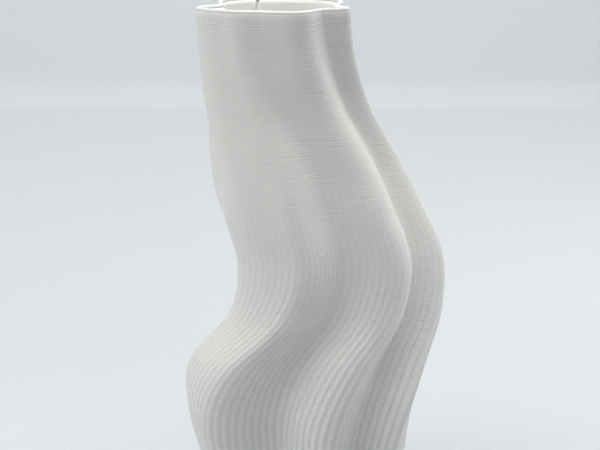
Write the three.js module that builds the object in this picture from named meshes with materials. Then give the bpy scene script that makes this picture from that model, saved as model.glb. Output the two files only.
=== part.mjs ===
// A tall vase with five soft lobes, printed in one go from white clay-like material.
// Millimetres, +Z up, front towards -Y, origin at the centre of the underside.
// The wall is one lobed outline that is moved, scaled and turned as it climbs.
import * as THREE from 'three';

// Driving dimensions
const HEIGHT = 250;
const WALL = 2.8;
const FLOOR_THICKNESS = 4;
const RIM_HEIGHT = 1.7;
const GAP = 0.3;

// Mesh resolution
const POINTS_AROUND = 72;
const WALL_LEVELS = 30;

// The outline at the mouth and at the foot: its crests and folds in turn, the same ones in both, as
// [degrees from the front towards the right, relative radius].
const MOUTH_OUTLINE = [
  [27, 0.88],
  [51, 0.8],
  [72, 1.04],
  [88, 0.85],
  [135, 1.12],
  [180, 1],
  [208, 1.02],
  [262, 0.68],
  [288, 1],
  [318, 0.86],
  [348, 0.76],
];
const FOOT_OUTLINE = [
  [37, 0.88],
  [57, 0.74],
  [70, 1.06],
  [86, 0.76],
  [132, 0.98],
  [190, 0.68],
  [220, 0.72],
  [262, 0.7],
  [290, 0.98],
  [322, 1.04],
  [356, 0.58],
];

// The climb: equally spaced stations from the underside to the rim, as
// [sideways shift, radius that the outline is scaled by, degrees turned to the right].
const STATIONS = [
  [4, 49, -24],
  [1, 54, -22],
  [0, 60, -17],
  [1, 61, -3],
  [11, 56, 12],
  [11, 56, 22],
  [2, 55, 26],
  [-5, 49.5, 26],
  [-12, 43, 18],
  [-15, 39.5, 7],
  [-16, 39, 0],
];

const WHITE = 0xe4e4e1;

// Angle and relative radius at a place along one outline. Whole places are its crests and folds, and
// the radius eases from each to the next.
function outlinePoint(outline, place) {
  const index = Math.floor(place) % outline.length;
  const share = place - Math.floor(place);
  const ease = (1 - Math.cos(Math.PI * share)) / 2;
  const [startAngle, startRadius] = outline[index];
  const [endAngle, endRadius] = outline[(index + 1) % outline.length];
  const span = THREE.MathUtils.euclideanModulo(endAngle - startAngle, 360);
  return [startAngle + span * share, startRadius + (endRadius - startRadius) * ease];
}

// Angle and relative radius at a place and a height: the foot's outline turns into the mouth's.
function outlineAt(place, height) {
  const climb = (1 - Math.cos((Math.PI * height) / HEIGHT)) / 2;
  const foot = outlinePoint(FOOT_OUTLINE, place);
  const mouth = outlinePoint(MOUTH_OUTLINE, place);
  return foot.map((value, i) => value + (mouth[i] - value) * climb);
}

// Places of the points round a ring: every crest and fold, and even steps between them, so that each
// stretch has its share of the points by the angle it covers.
function ringPlaces() {
  const spans = FOOT_OUTLINE.map(([angle], index) => {
    const [next] = FOOT_OUTLINE[(index + 1) % FOOT_OUTLINE.length];
    return THREE.MathUtils.euclideanModulo(next - angle, 360);
  });
  return spans.flatMap((span, index) => {
    const steps = Math.max(3, Math.round((span / 360) * POINTS_AROUND));
    return Array.from({ length: steps }, (_, i) => index + i / steps);
  });
}

const PLACES = ringPlaces();

// Shift, radius and turn at a height, on a Catmull-Rom curve through the stations.
function stationAt(height) {
  const last = STATIONS.length - 1;
  const place = THREE.MathUtils.clamp((height / HEIGHT) * last, 0, last);
  const from = Math.min(Math.floor(place), last - 1);
  const t = place - from;
  const [before, start, end, after] = [from - 1, from, from + 1, from + 2].map(
    (index) => STATIONS[THREE.MathUtils.clamp(index, 0, last)],
  );
  return start.map((value, i) => {
    const slopeIn = (end[i] - before[i]) / 2;
    const slopeOut = (after[i] - value) / 2;
    const rise = end[i] - value;
    return value + slopeIn * t + (3 * rise - 2 * slopeIn - slopeOut) * t ** 2
      + (slopeIn + slopeOut - 2 * rise) * t ** 3;
  });
}

// One ring of points at a height, set in from the outer face by a distance square to the wall.
function ring(height, inset) {
  const [shift, radius, turn] = stationAt(height);
  const step = 0.01;
  return PLACES.map((place) => {
    const [angle, outline] = outlineAt(place, height);
    const [angleBefore, outlineBefore] = outlineAt(place - step + FOOT_OUTLINE.length, height);
    const [angleAfter, outlineAfter] = outlineAt(place + step, height);
    const travel = THREE.MathUtils.degToRad(
      THREE.MathUtils.euclideanModulo(angleAfter - angleBefore, 360),
    );
    const lean = Math.hypot(1, (outlineAfter - outlineBefore) / travel / outline);
    const reach = radius * outline - inset * lean;
    const direction = THREE.MathUtils.degToRad(angle + turn);
    return new THREE.Vector3(
      shift + reach * Math.sin(direction),
      -reach * Math.cos(direction),
      height,
    );
  });
}

// A closed skin over a loop of rings: neighbours are joined, and the last ring meets the first.
function closedBand(rings) {
  const geometry = new THREE.BufferGeometry().setFromPoints(rings.flat());
  const faces = [];
  rings.forEach((_, row) => {
    const nextRow = (row + 1) % rings.length;
    for (let i = 0; i < PLACES.length; i += 1) {
      const nextPoint = (i + 1) % PLACES.length;
      const a = row * PLACES.length + i;
      const b = row * PLACES.length + nextPoint;
      const c = nextRow * PLACES.length + nextPoint;
      const d = nextRow * PLACES.length + i;
      faces.push(a, b, c, a, c, d);
    }
  });
  geometry.setIndex(faces);
  geometry.computeVertexNormals();
  return geometry;
}

// A stack of rings with a flat cap at the bottom and at the top.
function cappedStack(rings) {
  const geometry = new THREE.BufferGeometry();
  const middles = [rings[0], rings.at(-1)].map(
    (edge) => edge.reduce((sum, point) => sum.add(point), new THREE.Vector3()).divideScalar(edge.length),
  );
  geometry.setFromPoints([...rings.flat(), ...middles]);
  const faces = [];
  const bottomMiddle = rings.length * PLACES.length;
  const topRow = (rings.length - 1) * PLACES.length;
  for (let i = 0; i < PLACES.length; i += 1) {
    const nextPoint = (i + 1) % PLACES.length;
    faces.push(bottomMiddle, nextPoint, i);
    faces.push(bottomMiddle + 1, topRow + i, topRow + nextPoint);
    for (let row = 0; row < topRow; row += PLACES.length) {
      const a = row + i;
      const b = row + nextPoint;
      faces.push(a, b, b + PLACES.length, a, b + PLACES.length, a + PLACES.length);
    }
  }
  geometry.setIndex(faces);
  geometry.computeVertexNormals();
  return geometry;
}

// The lobed wall, open at the bottom and the top: outer face going up, inner face coming down.
function wallGeometry() {
  const top = HEIGHT - RIM_HEIGHT - GAP;
  const heights = Array.from({ length: WALL_LEVELS + 1 }, (_, i) => (top * i) / WALL_LEVELS);
  const outer = heights.map((height) => ring(height, 0));
  const inner = heights.toReversed().map((height) => ring(height, WALL));
  return closedBand([...outer, ...inner]);
}

// The printed floor layers that fill the foot of the wall.
function floorGeometry() {
  return cappedStack([ring(0, WALL + GAP), ring(FLOOR_THICKNESS, WALL + GAP)]);
}

// The smooth bead that finishes the mouth, with a rounded cross-section.
function rimGeometry() {
  const seat = HEIGHT - RIM_HEIGHT;
  const shoulder = HEIGHT - RIM_HEIGHT * 0.45;
  return closedBand([
    ring(seat, 0),
    ring(shoulder, 0),
    ring(HEIGHT, WALL * 0.3),
    ring(HEIGHT, WALL * 0.7),
    ring(shoulder, WALL),
    ring(seat, WALL),
  ]);
}

function clayMesh(name, geometry, roughness) {
  const material = new THREE.MeshStandardMaterial({ color: WHITE, roughness, metalness: 0 });
  const mesh = new THREE.Mesh(geometry, material);
  mesh.name = name;
  return mesh;
}

const group = new THREE.Group();
group.add(clayMesh('vase_wall', wallGeometry(), 0.8));
group.add(clayMesh('vase_floor', floorGeometry(), 0.85));
group.add(clayMesh('rim_bead', rimGeometry(), 0.6));

export default group;
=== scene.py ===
# Looks for the lobed, ribbed vase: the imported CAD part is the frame, and each printed region gets
# its fine surface here: vertical ribs, stacked print layers, a rounded rim and a ridged floor.
# Metres, +Z up, front towards -Y.
import math

import bmesh
import bpy
import numpy as np
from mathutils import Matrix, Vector


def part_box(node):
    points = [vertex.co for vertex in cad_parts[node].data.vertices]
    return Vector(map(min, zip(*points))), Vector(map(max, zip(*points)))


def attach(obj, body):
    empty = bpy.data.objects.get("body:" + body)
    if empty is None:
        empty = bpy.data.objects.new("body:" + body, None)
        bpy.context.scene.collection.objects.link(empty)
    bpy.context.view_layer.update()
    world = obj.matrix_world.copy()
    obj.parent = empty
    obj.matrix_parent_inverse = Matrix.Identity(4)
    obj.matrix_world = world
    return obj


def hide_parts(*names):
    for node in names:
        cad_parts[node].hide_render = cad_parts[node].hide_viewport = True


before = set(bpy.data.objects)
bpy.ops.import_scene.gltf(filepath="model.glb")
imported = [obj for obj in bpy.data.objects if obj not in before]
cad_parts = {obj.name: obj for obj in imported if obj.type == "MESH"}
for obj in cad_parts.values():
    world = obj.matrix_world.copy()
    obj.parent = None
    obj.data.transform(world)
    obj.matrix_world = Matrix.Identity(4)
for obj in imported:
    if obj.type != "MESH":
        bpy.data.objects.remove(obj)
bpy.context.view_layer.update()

MM = 0.001

# The two outlines and the climb of the CAD wall: see check_against_frame. Crests and folds of the
# outline in turn, as (degrees from the front towards the right, relative radius).
MOUTH_OUTLINE = (
    (27, 0.88),
    (51, 0.8),
    (72, 1.04),
    (88, 0.85),
    (135, 1.12),
    (180, 1),
    (208, 1.02),
    (262, 0.68),
    (288, 1),
    (318, 0.86),
    (348, 0.76),
)
FOOT_OUTLINE = (
    (37, 0.88),
    (57, 0.74),
    (70, 1.06),
    (86, 0.76),
    (132, 0.98),
    (190, 0.68),
    (220, 0.72),
    (262, 0.7),
    (290, 0.98),
    (322, 1.04),
    (356, 0.58),
)
# Sideways shift in mm, radius in mm, degrees turned to the right, at equal steps up the vase.
STATIONS = (
    (4, 49, -24),
    (1, 54, -22),
    (0, 60, -17),
    (1, 61, -3),
    (11, 56, 12),
    (11, 56, 22),
    (2, 55, 26),
    (-5, 49.5, 26),
    (-12, 43, 18),
    (-15, 39.5, 7),
    (-16, 39, 0),
)

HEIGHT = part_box("rim_bead")[1].z
RIM_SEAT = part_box("rim_bead")[0].z
FLOOR_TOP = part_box("vase_floor")[1].z
WALL = 2.8 * MM
FRAME_TOLERANCE = 0.5 * MM

# Vertical ribs: full below RIB_FADE_START, a trace RIB_FADE_LENGTH above it (shares of the height)
RIBS = 86
POINTS_PER_RIB = 6
RIB_DEPTH = 0.42 * MM
RIB_FADE_START = 0.14
RIB_FADE_LENGTH = 0.6
RIB_TRACE = 0.1
# Printed layers, each with one groove and a slight drift in or out
LAYER = 1.0 * MM
LAYER_DEPTH = 0.25 * MM
LAYER_DRIFT = 0.05 * MM
LAYER_SEED = 5
DRIFT_WAVES = 9
ROWS_PER_LAYER = 3
INNER_ROW = 2.0 * MM
# The last layers below the rim are smeared smooth, and the painted shade fades out over them, which leaves
# a paler band under the rim
SMEARED = 3.0 * MM
# The seam where each printed layer starts, down the inside of the rear wall
SEAM_PLACE = 5.4
SEAM_HALF_WIDTH = 0.03
SEAM_DEPTH = 1.1 * MM
# Painted shade: the clay colour is made this much darker in the grooves between ribs and between layers,
# where shade falls, and towards the mouth, for the darker upper body
RIB_SHADE = 0.11
LAYER_SHADE = 0.1
MOUTH_SHADE = 0.12
MOUTH_SHADE_START = 0.6
MOUTH_SHADE_LENGTH = 0.25
# Rim and floor
RIM_ARCH_POINTS = 15
FLOOR_RIDGES = 24
POINTS_PER_RIDGE = 4
FLOOR_RIDGE_DEPTH = 0.15 * MM

# Studio panels: name, place, what it faces (None for the middle of the vase), size in m, power in W
PANELS = (
    ("left_panel", (-1.1, 0, 0.35), None, (1.2, 1.0), 4.7),
    ("left_high_panel", (-0.7, -0.45, 0.95), None, (0.8, 0.8), 3.2),
    ("right_rear_panel", (0.85, 0.4, 0.35), None, (0.7, 0.8), 1.8),
    ("right_high_panel", (0.8, 0.15, 0.95), None, (0.8, 0.8), 4.9),
    ("top_panel", (0, 0.05, 1.9), None, (2.6, 2.4), 21),
    ("front_top_panel", (0, -0.8, 1.15), None, (1.4, 0.9), 4.3),
    ("backdrop_panel", (0, 0.55, 1.5), (0, 1.4, 0.2), (1.8, 0.4), 4.2),
    ("mouth_panel", (-0.016, -0.02, 0.36), (-0.016, 0.02, 0.2), (0.08, 0.08), 0.08),
)


# ---------------------------------------------------------------- shape of the vase

def outline_at(places, heights):
    """Angle and relative radius of places along the outline, counted in crests and folds, at heights.

    The outline eases from each crest or fold to the next, and from the foot's to the mouth's.
    """
    closing = (360, 0)
    corners = np.array([
        outline + (tuple(np.add(outline[0], closing)),) for outline in (FOOT_OUTLINE, MOUTH_OUTLINE)
    ], float)
    index = np.floor(places).astype(int) % len(FOOT_OUTLINE)
    share = (places - np.floor(places))[:, None]
    ease = np.concatenate((share, (1 - np.cos(np.pi * share)) / 2), axis=1)
    foot, mouth = corners[:, index] + (corners[:, index + 1] - corners[:, index]) * ease
    climb = (1 - np.cos(np.pi * np.asarray(heights) / HEIGHT)) / 2
    blended = foot + (mouth - foot) * climb[:, None, None]
    return blended[..., 0], blended[..., 1]


def station_at(height):
    """Shift, radius and turn at heights, on a Catmull-Rom curve through the stations."""
    stations = np.array(STATIONS, float) * (MM, MM, 1)
    last = len(stations) - 1
    place = np.clip(np.asarray(height, float) / HEIGHT * last, 0, last)
    index = np.minimum(np.floor(place).astype(int), last - 1)
    t = (place - index)[:, None]
    before, start, end, after = (
        stations[np.clip(index + step, 0, last)] for step in (-1, 0, 1, 2)
    )
    slope_in = (end - before) / 2
    slope_out = (after - start) / 2
    rise = end - start
    return (
        start
        + slope_in * t
        + (3 * rise - 2 * slope_in - slope_out) * t**2
        + (slope_in + slope_out - 2 * rise) * t**3
    )


def even_places(count):
    """Places that are equally spaced along the foot's outline."""
    fine = np.linspace(0, len(FOOT_OUTLINE), 4401)
    angle, radius = (row[0] for row in outline_at(fine % len(FOOT_OUTLINE), [0.0]))
    x = radius * np.sin(np.radians(angle))
    y = radius * np.cos(np.radians(angle))
    length = np.concatenate(([0], np.cumsum(np.hypot(np.diff(x), np.diff(y)))))
    return np.interp(np.arange(count) / count * length[-1], length, fine)


def rings(heights, places, inset):
    """Points of shape (heights, places, 3), set in from the outer face by inset, square to the wall."""
    step = 0.01
    shift, radius, turn = station_at(heights).T
    angle, outline = outline_at(places, heights)
    (angle_before, outline_before), (angle_after, outline_after) = (
        outline_at(places + side, heights) for side in (-step, step)
    )
    travel = np.radians((angle_after - angle_before) % 360)
    lean = np.hypot(1, (outline_after - outline_before) / travel / outline)
    reach = radius[:, None] * outline - np.asarray(inset) * lean
    direction = np.radians(angle + turn[:, None])
    x = shift[:, None] + reach * np.sin(direction)
    y = -reach * np.cos(direction)
    z = np.broadcast_to(np.asarray(heights, float)[:, None], x.shape)
    return np.stack((x, y, z), axis=-1)


def band_mesh(name, grid, closed, flat_bands):
    """A smooth mesh over rings of points; closed joins the last ring to the first.

    Flat bands, numbered from the first ring, keep the edges on either side of them crisp.
    """
    rows, around = grid.shape[:2]
    row = np.arange(rows if closed else rows - 1)[:, None]
    point = np.arange(around)
    a = row * around + point
    b = row * around + (point + 1) % around
    up = (row + 1) % rows * around
    c = up + (point + 1) % around
    d = up + point
    faces = np.stack((a, b, c, d), axis=-1).reshape(-1, 4)
    mesh = bpy.data.meshes.new(name)
    mesh.vertices.add(rows * around)
    mesh.vertices.foreach_set("co", grid.reshape(-1).astype(np.float32))
    mesh.loops.add(faces.size)
    mesh.loops.foreach_set("vertex_index", faces.reshape(-1).astype(np.int32))
    mesh.polygons.add(len(faces))
    mesh.polygons.foreach_set("loop_start", np.arange(0, faces.size, 4, dtype=np.int32))
    smooth = np.ones((len(row), around), bool)
    smooth[flat_bands] = False
    mesh.polygons.foreach_set("use_smooth", smooth.ravel())
    mesh.update()
    mesh.validate()
    return mesh


def add_piece(name, mesh, material, node):
    """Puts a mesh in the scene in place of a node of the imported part."""
    piece = bpy.data.objects.new(name, mesh)
    bpy.context.scene.collection.objects.link(piece)
    mesh.materials.append(material)
    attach(piece, "root")
    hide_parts(node)


# ---------------------------------------------------------------- fine surface

def rib_strength(heights):
    """Ribs are full at the foot, fade through the waist and are only a trace at the mouth."""
    share = np.clip((heights / HEIGHT - RIB_FADE_START) / RIB_FADE_LENGTH, 0, 1)
    fade = share * share * (3 - 2 * share)
    return 1 - (1 - RIB_TRACE) * fade


def layer_drift(layers, around):
    """How far each printed layer strays from the last, in and out, drawn once from a fixed seed."""
    draw = np.random.default_rng(LAYER_SEED)
    turns = np.arange(around) / around * 2 * np.pi
    waves = np.arange(1, DRIFT_WAVES + 1)
    size = draw.normal(size=(layers, DRIFT_WAVES, 1))
    start = draw.uniform(0, 2 * np.pi, (layers, DRIFT_WAVES, 1))
    along = (size * np.cos(waves[:, None] * turns + start)).sum(axis=1) / math.sqrt(DRIFT_WAVES)
    return LAYER_DRIFT * (draw.normal(size=(layers, 1)) + along)


def wall_mesh():
    """The wall as one closed shell: ribbed and layered outside, plain inside but for the seam."""
    around = RIBS * POINTS_PER_RIB
    places = even_places(around)
    across = np.pi * (np.arange(around) % POINTS_PER_RIB) / POINTS_PER_RIB
    rib_wave = (1 - np.sin(across)) / 2 + np.cos(across) ** 2 / 2
    layers = int(round(RIM_SEAT / LAYER))
    step = np.arange(layers * ROWS_PER_LAYER + 1)
    heights = RIM_SEAT * step / step[-1]

    ribs = rib_strength(heights)[:, None] * rib_wave
    grooves = (step % ROWS_PER_LAYER == 0)[:, None]
    drift = layer_drift(layers + 1, around)[step // ROWS_PER_LAYER]
    # Share of the relief and of the painted shade kept; both fade out in the smeared band under the rim
    relief_and_shade_kept = np.clip((RIM_SEAT - heights) / SMEARED, 0, 1)[:, None]
    relief = (RIB_DEPTH * ribs + LAYER_DEPTH * grooves + np.clip(drift, 0, None)) * relief_and_shade_kept
    outer = rings(heights, places, relief)

    inner_heights = np.linspace(RIM_SEAT, 0, int(RIM_SEAT / INNER_ROW) + 1)
    seam = SEAM_DEPTH * np.exp(-((places - SEAM_PLACE) / SEAM_HALF_WIDTH) ** 2)
    inner = rings(inner_heights, places, WALL - seam)
    top_and_foot = [len(outer) - 1, -1]
    mesh = band_mesh("fine_wall", np.concatenate((outer, inner)), True, top_and_foot)

    # Painted shade: darker clay in the rib and layer grooves, where shade falls, and towards the mouth,
    # for the darker upper body; kept per point in the shade attribute
    near_mouth = np.clip((heights / HEIGHT - MOUTH_SHADE_START) / MOUTH_SHADE_LENGTH, 0, 1)[:, None]
    layer_shade = LAYER_SHADE * grooves * (1 - near_mouth / 2)
    outer_shade = (RIB_SHADE * ribs + layer_shade + MOUTH_SHADE * near_mouth) * relief_and_shade_kept
    shade = np.zeros(len(mesh.vertices), np.float32)
    shade[: outer_shade.size] = outer_shade.ravel()
    mesh.attributes.new("shade", "FLOAT", "POINT").data.foreach_set("value", shade)
    return mesh


def rim_mesh():
    """A bead with a round top that stands on the wall."""
    places = even_places(RIBS * POINTS_PER_RIB)
    round_radius = WALL / 2
    arch = np.linspace(0, np.pi, RIM_ARCH_POINTS)
    insets = np.concatenate(([0], round_radius * (1 - np.cos(arch)), [WALL]))
    arch_heights = HEIGHT - round_radius + round_radius * np.sin(arch)
    heights = np.concatenate(([RIM_SEAT], arch_heights, [RIM_SEAT]))
    underside = [-1]
    return band_mesh("fine_rim", rings(heights, places, insets[:, None]), True, underside)


def floor_mesh():
    """A disc with the outline of the foot's inner face; its top has one shallow ridge per printed line."""
    places = even_places(RIBS * 2)
    under, edge = rings([0, FLOOR_TOP], places, WALL)
    step = np.arange(FLOOR_RIDGES * POINTS_PER_RIDGE + 1)
    top = edge * (1 - step / step[-1])[:, None, None]
    top[..., 2] = FLOOR_TOP - FLOOR_RIDGE_DEPTH * np.sin(np.pi * step / POINTS_PER_RIDGE)[:, None] ** 2
    middle = np.zeros_like(under)
    side = [1]
    mesh = band_mesh("fine_floor", np.concatenate(((middle, under), top)), False, side)
    shell = bmesh.new()
    shell.from_mesh(mesh)
    bmesh.ops.remove_doubles(shell, verts=shell.verts, dist=0.001 * MM)
    bmesh.ops.recalc_face_normals(shell, faces=shell.faces)
    shell.to_mesh(mesh)
    shell.free()
    return mesh


# ---------------------------------------------------------------- materials

def clay_material(name, colour, roughness):
    """Matt clay with cloudy colour, a fine grain and the painted shade held in the shade attribute."""
    material = bpy.data.materials.new(name)
    material.use_nodes = True
    nodes = material.node_tree.nodes
    links = material.node_tree.links
    shader = nodes["Principled BSDF"]
    coordinates = nodes.new("ShaderNodeTexCoord")

    cloud = nodes.new("ShaderNodeTexNoise")
    cloud.inputs["Scale"].default_value = 35
    cloud.inputs["Detail"].default_value = 4
    links.new(coordinates.outputs["Object"], cloud.inputs["Vector"])
    tone = nodes.new("ShaderNodeValToRGB")
    tone.color_ramp.elements[0].position = 0.3
    tone.color_ramp.elements[1].position = 0.7
    tone.color_ramp.elements[0].color = [c * 0.97 for c in colour] + [1]
    tone.color_ramp.elements[1].color = list(colour) + [1]
    links.new(cloud.outputs["Fac"], tone.inputs["Fac"])
    # Painted shade from the shade attribute darkens the base colour.
    shade = nodes.new("ShaderNodeAttribute")
    shade.attribute_name = "shade"
    share_left = nodes.new("ShaderNodeMath")
    share_left.operation = "SUBTRACT"
    share_left.inputs[0].default_value = 1
    links.new(shade.outputs["Fac"], share_left.inputs[1])
    shaded = nodes.new("ShaderNodeVectorMath")
    shaded.operation = "SCALE"
    links.new(tone.outputs["Color"], shaded.inputs[0])
    links.new(share_left.outputs["Value"], shaded.inputs["Scale"])
    links.new(shaded.outputs["Vector"], shader.inputs["Base Color"])

    grain = nodes.new("ShaderNodeTexNoise")
    grain.inputs["Scale"].default_value = 1400
    grain.inputs["Detail"].default_value = 3
    links.new(coordinates.outputs["Object"], grain.inputs["Vector"])
    rough = nodes.new("ShaderNodeMapRange")
    rough.inputs["To Min"].default_value = roughness - 0.06
    rough.inputs["To Max"].default_value = roughness + 0.06
    links.new(grain.outputs["Fac"], rough.inputs["Value"])
    links.new(rough.outputs["Result"], shader.inputs["Roughness"])
    bump = nodes.new("ShaderNodeBump")
    bump.inputs["Strength"].default_value = 0.12
    bump.inputs["Distance"].default_value = 0.05 * MM
    links.new(grain.outputs["Fac"], bump.inputs["Height"])
    links.new(bump.outputs["Normal"], shader.inputs["Normal"])

    # A thin wall of pale clay lets a little light through.
    shader.inputs["Subsurface Weight"].default_value = 0.08
    shader.inputs["Subsurface Radius"].default_value = (1, 0.95, 0.85)
    shader.inputs["Subsurface Scale"].default_value = 3.0 * MM
    return material


# ---------------------------------------------------------------- studio

def paper_material():
    """Pale paper with painted shade: a little darker towards the front, where the panels light it most."""
    material = bpy.data.materials.new("sweep_paper")
    material.use_nodes = True
    nodes = material.node_tree.nodes
    links = material.node_tree.links
    shader = nodes["Principled BSDF"]
    coordinates = nodes.new("ShaderNodeTexCoord")
    split = nodes.new("ShaderNodeSeparateXYZ")
    links.new(coordinates.outputs["Object"], split.inputs["Vector"])
    depth = nodes.new("ShaderNodeMapRange")
    depth.inputs["From Min"].default_value = 0.3
    depth.inputs["From Max"].default_value = 1.36
    links.new(split.outputs["Y"], depth.inputs["Value"])
    tone = nodes.new("ShaderNodeValToRGB")
    tone.color_ramp.elements[0].color = (0.63, 0.65, 0.67, 1)
    tone.color_ramp.elements[1].color = (0.8, 0.82, 0.84, 1)
    links.new(depth.outputs["Result"], tone.inputs["Fac"])
    links.new(tone.outputs["Color"], shader.inputs["Base Color"])
    shader.inputs["Roughness"].default_value = 0.9
    return material


def add_sweep():
    """A pale floor that curves up into a backdrop behind the vase."""
    half_width = 3.0
    front = -2.5
    bend_start = 1.33
    bend_radius = 0.03
    bend_steps = 12
    top = 2.6
    profile = [(front, 0.0), (bend_start, 0.0)]
    for i in range(1, bend_steps + 1):
        angle = math.pi / 2 * i / bend_steps
        profile.append((
            bend_start + bend_radius * math.sin(angle),
            bend_radius * (1 - math.cos(angle)),
        ))
    profile.append((bend_start + bend_radius, top))
    vertices = [(x, y, z) for y, z in profile for x in (-half_width, half_width)]
    faces = [(2 * i, 2 * i + 1, 2 * i + 3, 2 * i + 2) for i in range(len(profile) - 1)]
    mesh = bpy.data.meshes.new("sweep")
    mesh.from_pydata(vertices, [], faces)
    for polygon in mesh.polygons:
        polygon.use_smooth = True
    mesh.materials.append(paper_material())
    sweep = bpy.data.objects.new("sweep", mesh)
    bpy.context.scene.collection.objects.link(sweep)


def add_area_light(name, place, target, size, power):
    light = bpy.data.lights.new(name, "AREA")
    light.shape = "RECTANGLE"
    light.size, light.size_y = size
    light.energy = power
    lamp = bpy.data.objects.new(name, light)
    bpy.context.scene.collection.objects.link(lamp)
    lamp.location = place
    lamp.rotation_euler = (Vector(target) - Vector(place)).to_track_quat("-Z", "Y").to_euler()


def add_lights():
    middle = (0, 0, HEIGHT / 2)
    for name, place, target, size, power in PANELS:
        add_area_light(name, place, target or middle, size, power)
    world = bpy.data.worlds.new("studio")
    world.use_nodes = True
    background = world.node_tree.nodes["Background"]
    background.inputs["Color"].default_value = (0.92, 0.96, 1.0, 1)
    background.inputs["Strength"].default_value = 0.03
    bpy.context.scene.world = world


def add_camera():
    distance = 1.4
    elevation = math.radians(10.8)
    target = Vector((-0.002, 0, HEIGHT * 0.557))
    camera_data = bpy.data.cameras.new("camera")
    camera_data.sensor_width = 36
    camera_data.lens = 168
    camera = bpy.data.objects.new("camera", camera_data)
    bpy.context.scene.collection.objects.link(camera)
    camera.location = target + distance * Vector((0, -math.cos(elevation), math.sin(elevation)))
    camera.rotation_euler = (target - camera.location).to_track_quat("-Z", "Y").to_euler()
    bpy.context.scene.camera = camera


def check_against_frame():
    """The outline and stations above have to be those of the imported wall."""
    low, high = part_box("vase_wall")
    points = rings(np.linspace(0, high.z, 200), even_places(720), 0).reshape(-1, 3)
    drift = max(
        np.abs(points.min(0) - np.array(low)).max(),
        np.abs(points.max(0) - np.array(high)).max(),
    )
    if drift > FRAME_TOLERANCE:
        raise ValueError(f"the wall differs from the frame by {drift / MM:.2f} mm")


check_against_frame()
ribbed_clay = clay_material("ribbed_clay", (0.82, 0.825, 0.79), 0.62)
# The rim is the wall's clay made darker: painted shade that holds down the brightly lit top of the rim.
rim_clay = clay_material("rim_clay", (0.63, 0.63, 0.613), 0.6)
floor_clay = clay_material("floor_clay", (0.81, 0.815, 0.78), 0.65)
add_piece("ribbed_wall", wall_mesh(), ribbed_clay, "vase_wall")
add_piece("rounded_rim", rim_mesh(), rim_clay, "rim_bead")
add_piece("ridged_floor", floor_mesh(), floor_clay, "vase_floor")
add_sweep()
add_lights()
add_camera()
bpy.context.scene.view_settings.view_transform = "Standard"
